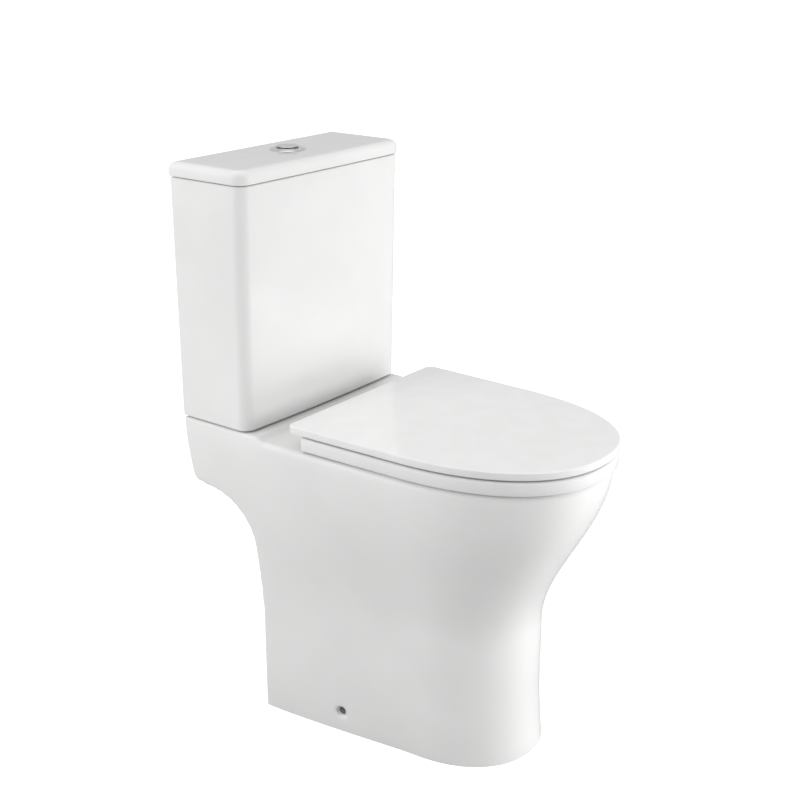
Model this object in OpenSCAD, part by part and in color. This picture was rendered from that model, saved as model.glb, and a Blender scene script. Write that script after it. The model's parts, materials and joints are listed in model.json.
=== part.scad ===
/* [Overall] */
// Distance from the wall to the front of the seat
projection = 628; // [600:1:660]
// Height of the pan rim above the floor
rim_h = 468; // [440:1:480]
// Height of the shelf that the cistern stands on
shelf_h = 474.5; // [446:0.5:488]

/* [Pan] */
// Half width of the skirt at its rear edge, at the floor
skirt_rear_w = 146; // [135:1:150]
// Half width of the skirt where the nose starts, at the floor
skirt_nose_w = 115; // [105:1:125]
// Half width of the shelf
shelf_w = 180; // [175:1:182]
// Half width of the rim where the nose starts
rim_nose_w = 168; // [160:1:170]
// Distance from the wall to the skirt's rear edge
leg_d = 121; // [110:1:130]
// Distance from the wall to the start of the nose
nose_d = 380; // [360:1:400]
// Distance from the wall to the front of the waist
waist_front_d = 520; // [500:1:540]
// Distance from the wall to the front of the rim
rim_front_d = 622; // [600:1:624]
// Height where the sides start to curve out
waist_h = 145; // [120:1:170]
// Height where the nose starts to curve out
nose_waist_h = 200; // [160:1:230]
// Thickness of the ceramic
wall_t = 12; // [10:1:14]
// Thickness of the rim and shelf plate
plate_t = 24; // [20:1:28]
// Radius of the soil outlet
outlet_r = 51; // [50:0.5:52]
// Height of the soil outlet's centre
outlet_h = 185; // [180:1:190]

/* [Cistern] */
// Half width of the cistern at its top
cistern_top_w = 180; // [176:1:182]
// Depth of the cistern at its top
cistern_top_d = 139; // [135:1:145]
// Half width of the cistern at its base
cistern_base_w = 179; // [174:1:180]
// Depth of the cistern at its base
cistern_base_d = 132; // [128:1:138]
// Height of the cistern body
cistern_h = 363; // [350:1:375]
// Radius of the cistern's front corners
cistern_r = 18; // [12:1:24]
// Height of the cistern lid
lid_h = 21; // [18:1:30]

/* [Seat] */
// Distance from the wall to the seat's back edge
seat_back_d = 205; // [200:1:206]
// Half width of the seat at its back
seat_back_w = 173; // [168:1:176]
// Half width of the seat where the nose starts
seat_nose_w = 169; // [164:1:172]
// Thickness of the seat ring
ring_t = 19.5; // [16:0.5:22]
// Thickness of the seat lid at its edge
seat_lid_t = 11; // [9:0.5:13]
// Distance from the wall to the hinge axis
hinge_d = 212; // [211:1:214]
// Half the distance between the hinges
hinge_x = 75; // [70:1:80]

/* [Fittings] */
// Distance from the wall to the line of the flush valve and the coupling bolts
flush_d = 66; // [62:1:70]
// Half the distance between the coupling bolts
coupling_x = 75; // [72:1:80]
// Sideways place of the fill valve
fill_x = 128; // [126:1:130]
// Radius of the G1/2 water inlet thread
inlet_r = 10.48; // [10.4:0.01:10.5]
// Radius of the chrome push button surround
bezel_r = 27; // [24:1:30]
// Travel of the push buttons
button_travel = 6; // [4:0.5:7]
// Distance from the wall to the side fixing screws
fixing_d = 264; // [250:1:270]
// Height of the side fixing screws
fixing_h = 33; // [30:1:36]

/* [Hidden] */

eps = 0.01;
ceramic = "white";
plastic = "gainsboro";
chrome = "silver";
steel = "lightgray";
rubber = "dimgray";

// Heights in the stack above the rim
ring_z = rim_h + 3.5;
seat_lid_z = ring_z + ring_t + 3.5;
hinge_z = seat_lid_z - 10.5;
cistern_z = shelf_h + 2.5;
cistern_top_z = cistern_z + cistern_h;
lid_z = cistern_top_z + 1.5;
lid_top_z = lid_z + lid_h;

// Thicknesses and inner faces
under_plate_z = shelf_h - plate_t - 2.5;
cistern_wall = 9;
cistern_floor = 13;
cistern_floor_z = cistern_z + cistern_floor;
skirt_power = 1.3;
nose_power = 2.2;
side_steps = 6;
nose_steps = 9;

function ease(t) = let (u = min(max(t, 0), 1)) u * u * (3 - 2 * u);
function mix(a, b, t) = a + (b - a) * t;
function arc(cx, cy, r, a0, a1, n) =
    [for (i = [0:n]) let (a = mix(a0, a1, i / n)) [cx + r * cos(a), cy + r * sin(a)]];

module at_wall() {
    translate([0, projection / 2, 0]) children();
}

module both_sides() {
    children();
    mirror([1, 0, 0]) children();
}

// A solid through a stack of rings, each with the same number of points, counterclockwise from above
module loft(rings) {
    n = len(rings[0]);
    top = n * (len(rings) - 1);
    points = [for (ring = rings) each ring];
    sides = [for (j = [0:len(rings) - 2], i = [0:n - 1])
        let (a = j * n + i, b = j * n + (i + 1) % n)
        each [[a, a + n, b + n], [a, b + n, b]]];
    base = [for (i = [0:n - 1]) i];
    cap = [for (i = [n - 1:-1:0]) top + i];
    polyhedron(points = points, faces = concat([base, cap], sides), convexity = 8);
}

function at_height(outline, z) = [for (p = outline) [p[0], p[1], z]];

// Half outline, from back to front, of a straight-sided shape with a rounded nose
function d_half(back_w, nose_w, back, nose, front, power, rear) = concat(
    [for (i = [0:side_steps])
        let (d = mix(rear, nose, i / side_steps), t = min(max((nose - d) / (nose - back), 0), 1))
        [mix(nose_w, back_w, 1 - pow(1 - t, skirt_power)), -d]],
    [for (i = [1:nose_steps])
        let (a = 90 * i / nose_steps)
        [nose_w * pow(max(cos(a), 0), 2 / power), -nose - (front - nose) * pow(sin(a), 2 / power)]]);

// Whole outline, counterclockwise, from the half outline
function mirrored(half) = let (n = len(half)) concat(
    [for (p = half) [-p[0], p[1]]],
    [for (i = [n - 2:-1:0]) half[i]]);

/* Pan */

function flare(z) = ease((z - waist_h) / (rim_h - waist_h));
function nose_flare(z) = ease((z - nose_waist_h) / (rim_h - nose_waist_h));
function foot(z) = 8 * pow(max(0, 1 - z / 110), 2);
function pan_outline(z, inset, rear) = mirrored(d_half(
    mix(skirt_rear_w, shelf_w, flare(z)) - inset,
    mix(skirt_nose_w, rim_nose_w, nose_flare(z)) - inset,
    leg_d, nose_d,
    mix(waist_front_d, rim_front_d, nose_flare(z)) + foot(z) - inset,
    nose_power, rear));

module pan_outer() {
    edge_r = 5;
    high_steps = 9;
    low = [0, 25, 55, 100, waist_h];
    high = [for (i = [1:high_steps]) mix(waist_h, rim_h - edge_r, i / high_steps)];
    body = [for (z = concat(low, high)) at_height(pan_outline(z, 0, 0), z)];
    edge = [for (a = [30:30:90])
        let (z = rim_h - edge_r + edge_r * sin(a))
        at_height(pan_outline(z, edge_r * (1 - cos(a)), 0), z)];
    loft(concat(body, edge));
}

module shelf() {
    edge_r = 3;
    step_d = 150;
    slope = 9;
    function shelf_ring(z, inset, front) = [
        [-shelf_w + inset + 1, -eps, z], [-shelf_w + inset + 1, -front + 10, z],
        [-shelf_w + inset + 11, -front, z], [shelf_w - inset - 11, -front, z],
        [shelf_w - inset - 1, -front + 10, z], [shelf_w - inset - 1, -eps, z]];
    loft([
        shelf_ring(rim_h - 12, 0, step_d + slope), shelf_ring(rim_h - 1, 0, step_d + slope),
        shelf_ring(shelf_h - edge_r, 0, step_d), shelf_ring(shelf_h - 1, 1, step_d - 1),
        shelf_ring(shelf_h, edge_r, step_d - edge_r)]);
}

module pan_hollow() {
    steps = 6;
    heights = concat([-1, 60], [for (i = [0:steps]) mix(waist_h, under_plate_z, i / steps)]);
    loft([for (z = heights) at_height(pan_outline(z, wall_t, -20), z)]);
}

// Space behind the leg and under the shelf, as a side view
module rear_space() {
    arc_r = 81;
    arc_z = 286;
    back = leg_d - arc_r;
    profile = concat(
        [[20, -20], [-leg_d, -20]],
        arc(-back, arc_z, arc_r, 180, 90, 8),
        arc(-21, arc_z + arc_r + 16, 12, 270, 350, 4),
        [[-1, shelf_h - 4], [20, shelf_h]]);
    rotate([90, 0, 90]) translate([0, 0, -200]) linear_extrude(400) polygon(profile);
}

bowl_floor_z = 100;
bowl_sides = 24;
bowl_steps = 9;
function bowl_grow(z) = 1 - pow(1 - min(max((z - bowl_floor_z) / (rim_h - bowl_floor_z), 0), 1), 1.75);
function bowl_ring(z, out) = let (
        g = bowl_grow(z), a = mix(38, 118, g) + out, b = mix(38, 142, g) + out, d = mix(395, 430, g))
    [for (i = [0:bowl_sides - 1]) let (turn = 360 * i / bowl_sides) [a * cos(turn), -d + b * sin(turn), z]];

module bowl(out) {
    loft(concat(
        [bowl_ring(bowl_floor_z - out, out - 14)],
        [for (i = [0:bowl_steps])
            bowl_ring(mix(bowl_floor_z + 6, rim_h + 2, pow(i / bowl_steps, 1.3)), out)]));
}

// Centre line of the trapway, as distance from the wall and height: dip, crest, and the turn to the outlet
trap_bore_r = 27;
sump_z = bowl_floor_z + 22;
trap_path = concat(
    [[412, sump_z]],
    arc(392, sump_z + 55, 55, 270, 225, 3),
    arc(233, 190, 48, 45, 135, 5),
    arc(140, outlet_h + 50, 50, 315, 270, 3),
    [[110, outlet_h]]);

module trapway(r) {
    n = len(trap_path);
    sides = 16;
    rings = [for (i = [0:n - 1])
        let (p = trap_path[i], q = trap_path[max(i - 1, 0)], s = trap_path[min(i + 1, n - 1)],
            t = (s - q) / norm(s - q))
        [for (k = [0:sides - 1])
            let (a = 360 * k / sides, u = r * cos(a), v = r * sin(a))
            [u, -p[0] + v * t[1], p[1] + v * t[0]]]];
    loft(rings);
}

module at_hinges() {
    both_sides() translate([hinge_x, -hinge_d, 0]) children();
}

module at_coupling() {
    both_sides() translate([coupling_x, -flush_d, 0]) children();
}

spigot_in_d = 160;
spigot_end_d = 75;
duct_z = under_plate_z - 24;
duct_w = 32;
duct_h = 28;
duct_to_d = 300;
duct_wall = 8;
bowl_wall = 10;
trap_wall = 9;
boss_r = 58;
recess_r = 47;
passage_r = 30;
inlet_hole_r = 22;
bolt_hole_r = 6;
hinge_hole_r = 7;
fixing_hole_r = 8;
spigot_wall = 8;
through = 60;

module flush_duct(out) {
    from_d = flush_d - 20 - out;
    translate([-duct_w - out, -duct_to_d, duct_z - out])
        cube([2 * (duct_w + out), duct_to_d - from_d, duct_h + out]);
}

// Everything inside the skirt and below the shelf's top
module pan_outside() {
    pan_outer();
    shelf();
}

module pan_body() {
    difference() {
        union() {
            difference() {
                pan_outside();
                pan_hollow();
            }
            intersection() {
                union() {
                    bowl(bowl_wall);
                    trapway(trap_bore_r + trap_wall);
                    flush_duct(duct_wall);
                    translate([0, -flush_d, duct_z - duct_wall])
                        cylinder(r = boss_r, h = shelf_h - duct_z, $fn = 32);
                    translate([0, -spigot_in_d + 15, outlet_h]) rotate([90, 0, 0])
                        cylinder(r = outlet_r - 0.1, h = 30, $fn = 32);
                }
                pan_outside();
            }
        }
        bowl(0);
        trapway(trap_bore_r);
        flush_duct(0);
        translate([0, -flush_d, under_plate_z - 12]) cylinder(r = recess_r, h = through, $fn = 32);
        translate([0, -flush_d, duct_z]) cylinder(r = passage_r, h = through, $fn = 24);
        translate([fill_x, -flush_d, under_plate_z - 1]) cylinder(r = inlet_hole_r, h = through, $fn = 24);
        at_coupling() translate([0, 0, under_plate_z - 1]) cylinder(r = bolt_hole_r, h = through, $fn = 12);
        at_hinges() translate([0, 0, under_plate_z - 1]) cylinder(r = hinge_hole_r, h = through, $fn = 12);
        both_sides() translate([90, -fixing_d, fixing_h]) rotate([0, 90, 0])
            cylinder(r = fixing_hole_r, h = through, $fn = 16);
        rear_space();
    }
}

module pan() {
    color(ceramic) at_wall() difference() {
        union() {
            resize([0, 0, 0]) pan_body();
            translate([0, -spigot_in_d, outlet_h]) rotate([-90, 0, 0])
                cylinder(r = outlet_r, h = spigot_in_d - spigot_end_d, $fn = 96);
        }
        translate([0, -spigot_in_d + 2, outlet_h]) rotate([-90, 0, 0])
            cylinder(r = outlet_r - spigot_wall, h = spigot_in_d, $fn = 96);
    }
}

/* Cistern */

function cistern_ring(t, inset, z) = let (
        w = mix(cistern_base_w, cistern_top_w, t) - inset,
        d = mix(cistern_base_d, cistern_top_d, t) - inset,
        crown = mix(4.5, 1.8, t), r = max(cistern_r - inset, 4), n = 5,
        corner = arc(-w + r, -d + r, r, 180, 270, n),
        front = [for (x = [-w / 2:w / 2:w / 2]) [x, -d - crown * (1 - pow(x / w, 2))]],
        half = concat([[-w, -inset]], corner))
    at_height(concat(half, front, [for (i = [len(half) - 1:-1:0]) [-half[i][0], half[i][1]]]), z);

module cistern() {
    color(ceramic) at_wall() difference() {
        loft([
            cistern_ring(0, 3, cistern_z), cistern_ring(0.01, 0, cistern_z + 3),
            cistern_ring(1, 0, cistern_top_z)]);
        loft([
            cistern_ring(0.03, cistern_wall, cistern_floor_z),
            cistern_ring(1, cistern_wall, cistern_top_z + 1)]);
        translate([0, -flush_d, cistern_z - 1]) cylinder(r = flush_hole_r, h = 20, $fn = 64);
        translate([fill_x, -flush_d, cistern_z - 1]) cylinder(r = fill_hole_r, h = 20, $fn = 48);
        at_coupling() translate([0, 0, cistern_z - 1]) cylinder(r = bolt_hole_r, h = 20, $fn = 32);
    }
}

flush_hole_r = 32;
fill_hole_r = 11.5;
lid_over = 2.5;
lid_edge_r = 12;
lid_hole_r = 21;
lid_top_t = 9;

module cistern_lid() {
    inner_z = lid_top_z - lid_top_t;
    lip = cistern_wall + 1;
    band = [cistern_ring(1, 1 - lid_over, lid_z), cistern_ring(1, -lid_over, lid_z + 1),
        cistern_ring(1, -lid_over, lid_top_z - lid_edge_r)];
    edge = [for (a = [15:15:90])
        let (inset = lid_edge_r * (1 - cos(a)) - lid_over)
        cistern_ring(1, inset, lid_top_z - lid_edge_r + lid_edge_r * sin(a))];
    color(ceramic) at_wall() intersection() {
        difference() {
            union() {
                loft(concat(band, edge));
                loft([
                    cistern_ring(1, lip + 3, lid_z - 8), cistern_ring(1, lip, lid_z - 5),
                    cistern_ring(1, lip, lid_z + 1)]);
            }
            loft([cistern_ring(1, lip + 8, lid_z - 10), cistern_ring(1, lip + 8, inner_z)]);
            translate([0, -flush_d, inner_z - 1]) cylinder(r = lid_hole_r, h = 20, $fn = 64);
        }
        translate([-200, -200, lid_z - 20]) cube([400, 200, 100]);
    }
}

/* Seat */

seat_front_d = projection;
seat_power = 2.25;
hole_d = 430;
hole_w = 108;
hole_l = 128;
hole_egg = 0.05;
function seat_outline(inset, back) = mirrored(d_half(
    seat_back_w - inset, seat_nose_w - inset, seat_back_d, nose_d, seat_front_d - inset, seat_power, back));
seat_hole = [for (i = [0:47])
    let (a = i * 7.5)
    [hole_w * cos(a), -hole_d + hole_l * sin(a) * (1 - hole_egg * sin(a))]];

ring_back_d = 226;
barrel_r = 8;
pin_r = 4;
damper_r = 5.5;
run_gap = 0.05;
lug_w = 12;

module knuckle(x0, x1) {
    translate([x0, -hinge_d, hinge_z]) rotate([0, 90, 0]) cylinder(r = barrel_r, h = x1 - x0, $fn = 48);
}

ring_lug = [hinge_x - 11 - lug_w, hinge_x - 11];
base_lug = [hinge_x - 9, hinge_x + 11];
seat_lid_lug = [hinge_x + 13, hinge_x + 13 + lug_w];

module seat_ring() {
    color(ceramic) at_wall() {
        difference() {
            union() {
                translate([0, 0, ring_z]) linear_extrude(ring_t) difference() {
                    polygon(seat_outline(1, ring_back_d));
                    polygon(seat_hole);
                }
                both_sides() {
                    knuckle(ring_lug[0], ring_lug[1]);
                    translate([ring_lug[0], -ring_back_d - 2, hinge_z - barrel_r])
                        cube([ring_lug[1] - ring_lug[0], ring_back_d + 2 - hinge_d, 2 * barrel_r - 3]);
                }
            }
            both_sides() translate([ring_lug[0] - 1, -hinge_d, hinge_z]) rotate([0, 90, 0])
                cylinder(r = pin_r + run_gap, h = lug_w + 2, $fn = 48);
        }
    }
}

module seat_lid() {
    crown = 1.5;
    color(ceramic) at_wall() {
        difference() {
            union() {
                difference() {
                    loft([
                        at_height(seat_outline(1, seat_back_d), seat_lid_z),
                        at_height(seat_outline(0, seat_back_d), seat_lid_z + 2),
                        at_height(seat_outline(0, seat_back_d), seat_lid_z + seat_lid_t - 5),
                        at_height(seat_outline(2, seat_back_d + 1), seat_lid_z + seat_lid_t - 1.5),
                        at_height(seat_outline(5, seat_back_d + 3), seat_lid_z + seat_lid_t),
                        at_height(seat_outline(60, seat_back_d + 45), seat_lid_z + seat_lid_t + crown)]);
                    translate([0, 0, seat_lid_z - 1]) linear_extrude(lid_recess + 1)
                        polygon(seat_outline(6, ring_back_d + 4));
                }
                both_sides() {
                    knuckle(seat_lid_lug[0], seat_lid_lug[1]);
                    translate([seat_lid_lug[0], -hinge_d - barrel_r, hinge_z])
                        cube([seat_lid_lug[1] - seat_lid_lug[0], 2 * barrel_r - 2, seat_lid_z - hinge_z + 2]);
                }
            }
            both_sides() translate([seat_lid_lug[0] - 1, -hinge_d, hinge_z]) rotate([0, 90, 0])
                cylinder(r = damper_r, h = lug_w + 2, $fn = 48);
        }
    }
}

module soft_close_damper() {
    color(plastic) at_wall() difference() {
        translate([seat_lid_lug[0], -hinge_d, hinge_z]) rotate([0, 90, 0])
            cylinder(r = damper_r - 0.02, h = lug_w, $fn = 48);
        translate([seat_lid_lug[0] - 1, -hinge_d, hinge_z]) rotate([0, 90, 0])
            cylinder(r = pin_r + run_gap, h = lug_w + 2, $fn = 48);
    }
}

base_plate_t = 3;
base_plate_r = 17;
base_w = base_lug[1] - base_lug[0];
stud_r = 3.5;
stud_hole_r = 3.6;

module hinge_base() {
    color(chrome) at_wall() difference() {
        union() {
            knuckle(base_lug[0], base_lug[1]);
            translate([base_lug[0], -hinge_d - barrel_r, rim_h])
                cube([base_w, 2 * barrel_r, hinge_z - rim_h]);
            translate([hinge_x + 1, -hinge_d, rim_h]) cylinder(r = base_plate_r, h = base_plate_t, $fn = 64);
        }
        translate([base_lug[0] - 1, -hinge_d, hinge_z]) rotate([0, 90, 0])
            cylinder(r = pin_r + 0.02, h = base_w + 2, $fn = 48);
        translate([hinge_x, -hinge_d, rim_h - 1]) cylinder(r = stud_r + 0.02, h = 7, $fn = 32);
    }
}

module hinge_pin() {
    color(steel) at_wall() translate([ring_lug[0] - 1, -hinge_d, hinge_z]) rotate([0, 90, 0])
        cylinder(r = pin_r, h = seat_lid_lug[1] - ring_lug[0] + 2, $fn = 48);
}

stud_top_z = rim_h + 5;
stud_low_z = under_plate_z - 26;

module hinge_studs() {
    color(steel) at_wall() at_hinges() translate([0, 0, stud_low_z])
        cylinder(r = stud_r, h = stud_top_z - stud_low_z, $fn = 32);
}

module hinge_cone_washers() {
    flange_t = 6;
    cone_h = 9;
    color(rubber) at_wall() at_hinges() translate([0, 0, under_plate_z - flange_t]) difference() {
        union() {
            cylinder(r = 15, h = flange_t - eps, $fn = 48);
            translate([0, 0, flange_t - 1]) cylinder(r1 = hinge_hole_r - 0.2, r2 = 5, h = cone_h, $fn = 32);
        }
        translate([0, 0, -1]) cylinder(r = stud_hole_r, h = flange_t + cone_h + 2, $fn = 32);
    }
}

module hinge_nuts() {
    nut_h = 12;
    wing = [34, 5, 9];
    color(plastic) at_wall() at_hinges() translate([0, 0, under_plate_z - 6 - nut_h]) difference() {
        union() {
            cylinder(r = 9, h = nut_h - 2 * eps, $fn = 48);
            translate([-wing[0] / 2, -wing[1] / 2, 0]) cube(wing);
        }
        translate([0, 0, -1]) cylinder(r = stud_hole_r, h = nut_h + 2, $fn = 32);
    }
}

// Places of the buffers: sideways, and from the wall
ring_buffer_at = [[118, 268], [96, 540]];
lid_buffer_at = [[136, 262], [112, 545]];
lid_recess = 6;

module ring_buffers() {
    color(plastic) at_wall() both_sides() {
        for (p = ring_buffer_at)
            translate([p[0], -p[1], rim_h]) cylinder(r = 9, h = ring_z - rim_h - eps, $fn = 40);
    }
}

module lid_buffers() {
    low = ring_z + ring_t + 0.3;
    color(plastic) at_wall() both_sides() {
        for (p = lid_buffer_at)
            translate([p[0], -p[1], low]) cylinder(r = 7, h = seat_lid_z + lid_recess - low - eps, $fn = 40);
    }
}

/* Push button */

split_x = -2;
button_r = 16.5;
well_r = 17;
button_top_z = lid_top_z + button_travel;
button_h = 12;
well_depth = 30;
well_floor_t = 3;
collar_r = 20;
spring_high_z = button_top_z - button_h;
spring_low_z = lid_top_z - well_depth;
rod_r = 3;
full_rod_x = 7.5;
half_rod_x = -9.5;
rod_low_z = lid_top_z - 82;

module at_flush() {
    translate([0, -flush_d, 0]) children();
}

module button_bezel() {
    color(chrome) at_wall() at_flush() difference() {
        rotate_extrude($fn = 96) polygon(concat(
            [[well_r, lid_top_z - 36], [collar_r, lid_top_z - 36],
            [collar_r, lid_top_z + eps], [bezel_r, lid_top_z + eps]],
            arc(bezel_r - 2.4, lid_top_z + eps, 2.4, 0, 90, 6),
            [[well_r + 1.5, lid_top_z + 2.4], [well_r, lid_top_z + 1.6], [well_r, spring_low_z],
            [eps, spring_low_z], [eps, spring_low_z - well_floor_t], [well_r, spring_low_z - well_floor_t]]));
        for (x = [full_rod_x, half_rod_x])
            translate([x, 0, spring_low_z - 5]) cylinder(r = rod_r + 0.3, h = 8, $fn = 32);
    }
}

module bezel_nut() {
    color(plastic) at_wall() at_flush() translate([0, 0, lid_top_z - 17]) difference() {
        cylinder(r = 29, h = 8 - eps, $fn = 6);
        translate([0, 0, -1]) cylinder(r = collar_r + 0.05, h = 12, $fn = 96);
    }
}

module button_half(side) {
    edge = 1.2;
    gap = 0.4;
    away = 40;
    difference() {
        union() {
            translate([0, 0, button_top_z - button_h]) cylinder(r = button_r, h = button_h - edge, $fn = 96);
            translate([0, 0, button_top_z - edge])
                cylinder(r1 = button_r, r2 = button_r - edge, h = edge, $fn = 96);
        }
        translate([side > 0 ? split_x - away + gap : split_x - gap, -away, button_top_z - away])
            cube([away, 2 * away, 2 * away]);
    }
}

module full_flush_button() {
    color(chrome) at_wall() at_flush() button_half(1);
}

module half_flush_button() {
    color(chrome) at_wall() at_flush() button_half(-1);
}

module push_rod(x) {
    color(plastic) at_wall() at_flush() translate([x, 0, rod_low_z])
        cylinder(r = rod_r, h = button_top_z - button_h - rod_low_z - eps, $fn = 32);
}

// A spring of round wire, standing on the floor of the button's well
module coil(r, wire, low, high, turns) {
    steps = 14;
    sides = 6;
    n = turns * steps;
    rings = [for (i = [0:n])
        let (a = 360 * i / steps, z = mix(low + wire, high - wire, i / n))
        [for (k = [0:sides - 1])
            let (b = 360 * k / sides, q = r + wire * cos(b))
            [q * cos(a), q * sin(a), z + wire * sin(b)]]];
    loft([for (ring = rings) [for (k = [sides - 1:-1:0]) ring[k]]]);
}

module button_spring(x) {
    color(steel) at_wall() at_flush() translate([x, 0, 0])
        coil(5, 0.6, spring_low_z + 0.1, spring_high_z - 0.1, 5);
}

/* Flush valve */

valve_base_z = cistern_floor_z;
tower_top_z = rod_low_z - 10;
lift_tube_r = 14;

// Heights of the flush valve's cage and tower above the cistern floor
shank_out_r = 29.6;
cage_z = 88;
cage_h = 110;
cage_r = 40;
tower_z = cage_z + cage_h - 1;
seat_top = 10;

module flush_valve_body() {
    flange_z = 3;
    post = [6, 8, 80];
    shank_low = 56;
    color(plastic) at_wall() at_flush() {
        difference() {
            translate([0, 0, valve_base_z]) union() {
                translate([0, 0, flange_z]) cylinder(r = 42, h = 8, $fn = 64);
                translate([0, 0, -shank_low]) cylinder(r = shank_out_r, h = shank_low + seat_top, $fn = 64);
                for (a = [45:90:315]) rotate(a) translate([34, -post[1] / 2, seat_top]) cube(post);
                translate([0, 0, cage_z]) cylinder(r = cage_r, h = cage_h, $fn = 64);
                translate([0, 0, tower_z])
                    cylinder(r = 24, h = tower_top_z - valve_base_z - tower_z, $fn = 64);
            }
            translate([0, 0, valve_base_z - shank_low - 1]) cylinder(r = 25.5, h = 80, $fn = 64);
            translate([0, 0, valve_base_z + cage_z - 4]) cylinder(r = cage_r - 4, h = cage_h, $fn = 64);
            translate([0, 0, valve_base_z + 190]) cylinder(r = 20, h = 200, $fn = 64);
        }
        // Pads that the two push rods press on
        translate([-22, -3, tower_top_z - 4]) cube([16, 6, 4]);
        translate([5, -3, tower_top_z - 4]) cube([17, 6, 4]);
    }
}

seal_z = valve_base_z + 11;
seal_t = 4.3;

module flush_lift_tube() {
    color("lightsteelblue") at_wall() at_flush() translate([0, 0, seal_z]) difference() {
        union() {
            translate([0, 0, seal_t]) cylinder(r = lift_tube_r, h = 190, $fn = 48);
            translate([0, 0, seal_t]) cylinder(r = 30, h = 5, $fn = 48);
            translate([0, 0, 90]) cylinder(r = 33, h = 36, $fn = 48);
        }
        cylinder(r = lift_tube_r - 2, h = 220, $fn = 48);
    }
}

module flush_seal() {
    color(rubber) at_wall() at_flush() translate([0, 0, seal_z + 0.3]) difference() {
        cylinder(r = 32, h = seal_t - 0.3 - eps, $fn = 64);
        translate([0, 0, -1]) cylinder(r = lift_tube_r - 2, h = 8, $fn = 48);
    }
}

module flush_valve_gasket() {
    color(rubber) at_wall() at_flush() translate([0, 0, valve_base_z]) difference() {
        cylinder(r = 41, h = 3 - eps, $fn = 64);
        translate([0, 0, -1]) cylinder(r = shank_out_r + 0.1, h = 6, $fn = 64);
    }
}

module flush_valve_nut() {
    color(plastic) at_wall() at_flush() translate([0, 0, cistern_z - 10]) difference() {
        cylinder(r = 39, h = 10 - eps, $fn = 8);
        translate([0, 0, -1]) cylinder(r = shank_out_r + 0.1, h = 12, $fn = 64);
    }
}

/* Close coupling */

module coupling_washer() {
    low = under_plate_z - 12 + eps;
    color(rubber) at_wall() at_flush() translate([0, 0, low]) difference() {
        cylinder(r1 = 43, r2 = 46, h = cistern_z - low - 10 - 2 * eps, $fn = 64);
        translate([0, 0, -1]) cylinder(r = shank_out_r + 0.2, h = 60, $fn = 64);
    }
}

bolt_r = 4;
bolt_head_z = cistern_floor_z + 4;

module coupling_bolts() {
    low = under_plate_z - 24;
    color("darkgoldenrod") at_wall() at_coupling() {
        translate([0, 0, low]) cylinder(r = bolt_r, h = bolt_head_z - low + 1, $fn = 32);
        translate([0, 0, bolt_head_z + 1]) cylinder(r = 9, h = 5, $fn = 48);
    }
}

module coupling_seals() {
    color(rubber) at_wall() at_coupling() translate([0, 0, cistern_floor_z]) difference() {
        cylinder(r = 12, h = 5 - eps, $fn = 48);
        translate([0, 0, -1]) cylinder(r = bolt_r + 0.05, h = 8, $fn = 32);
    }
}

module coupling_steel_washers() {
    color(steel) at_wall() at_coupling() translate([0, 0, under_plate_z - 2]) difference() {
        cylinder(r = 12, h = 2 - eps, $fn = 48);
        translate([0, 0, -1]) cylinder(r = bolt_r + 0.05, h = 4, $fn = 32);
    }
}

module coupling_wing_nuts() {
    color("darkgoldenrod") at_wall() at_coupling() translate([0, 0, under_plate_z - 14]) difference() {
        union() {
            cylinder(r = 8, h = 12 - 2 * eps, $fn = 48);
            both_sides() translate([6, -2, -4]) cube([10, 4, 12]);
        }
        translate([0, 0, -5]) cylinder(r = bolt_r + 0.05, h = 20, $fn = 32);
    }
}

/* Fill valve */

float_lift = 25;
shank_r = inlet_r - 0.2;
tail_h = 32;
tail_z = cistern_z - 10;
head_z = cistern_top_z - 80;
column_r = 9;
lever_len = 45;
lever_rest = 32;
lever_x = -20;
lever_pivot_z = head_z - 22;
lug_h = 6;
float_h = 62;
float_z = lever_pivot_z - float_lift - 3 - lug_h - float_h;

module at_fill() {
    translate([fill_x, -flush_d, 0]) children();
}

module fill_valve_body() {
    color(plastic) at_wall() at_fill() {
        translate([0, 0, tail_z - tail_h]) cylinder(r = inlet_r, h = tail_h, $fn = 64);
        translate([0, 0, tail_z]) cylinder(r = shank_r, h = cistern_floor_z + 4 - tail_z, $fn = 64);
        translate([0, 0, cistern_floor_z + 3]) cylinder(r = 17, h = 8, $fn = 64);
        translate([0, 0, cistern_floor_z + 10])
            cylinder(r = column_r, h = head_z - cistern_floor_z - 10, $fn = 48);
        translate([0, 0, head_z - 28]) cylinder(r = 13, h = 46, $fn = 48);
        difference() {
            translate([lever_x - 5, -9, lever_pivot_z - 6]) cube([15, 18, 13]);
            translate([lever_x - 6, -5.5, lever_pivot_z - 7]) cube([11, 11, 15]);
        }
        translate([lever_x, -9, lever_pivot_z]) rotate([-90, 0, 0]) cylinder(r = 1.6, h = 18, $fn = 24);
    }
}

module fill_float() {
    lug_x = lever_x - 38;
    color("lightgray") at_wall() at_fill() {
        difference() {
            union() {
                translate([0, 0, float_z]) cylinder(r = 30, h = float_h, $fn = 64);
                translate([lug_x, -4, float_z + float_h - 4]) cube([30, 8, 4]);
            }
            translate([0, 0, float_z - 1]) cylinder(r = column_r + 1, h = float_h + 2, $fn = 48);
        }
        translate([lug_x, -4, float_z + float_h - 1]) cube([6, 8, lug_h + 1]);
    }
}

module fill_lever() {
    color("white") at_wall() at_fill() translate([lever_x, 0, lever_pivot_z]) rotate([0, -lever_rest, 0])
        difference() {
            union() {
                rotate([-90, 0, 0]) translate([0, 0, -4.5]) cylinder(r = 4, h = 9, $fn = 32);
                translate([-lever_len, -3, -2]) cube([lever_len - 2, 6, 4]);
            }
            rotate([-90, 0, 0]) translate([0, 0, -6]) cylinder(r = 1.65, h = 12, $fn = 32);
        }
}

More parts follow.
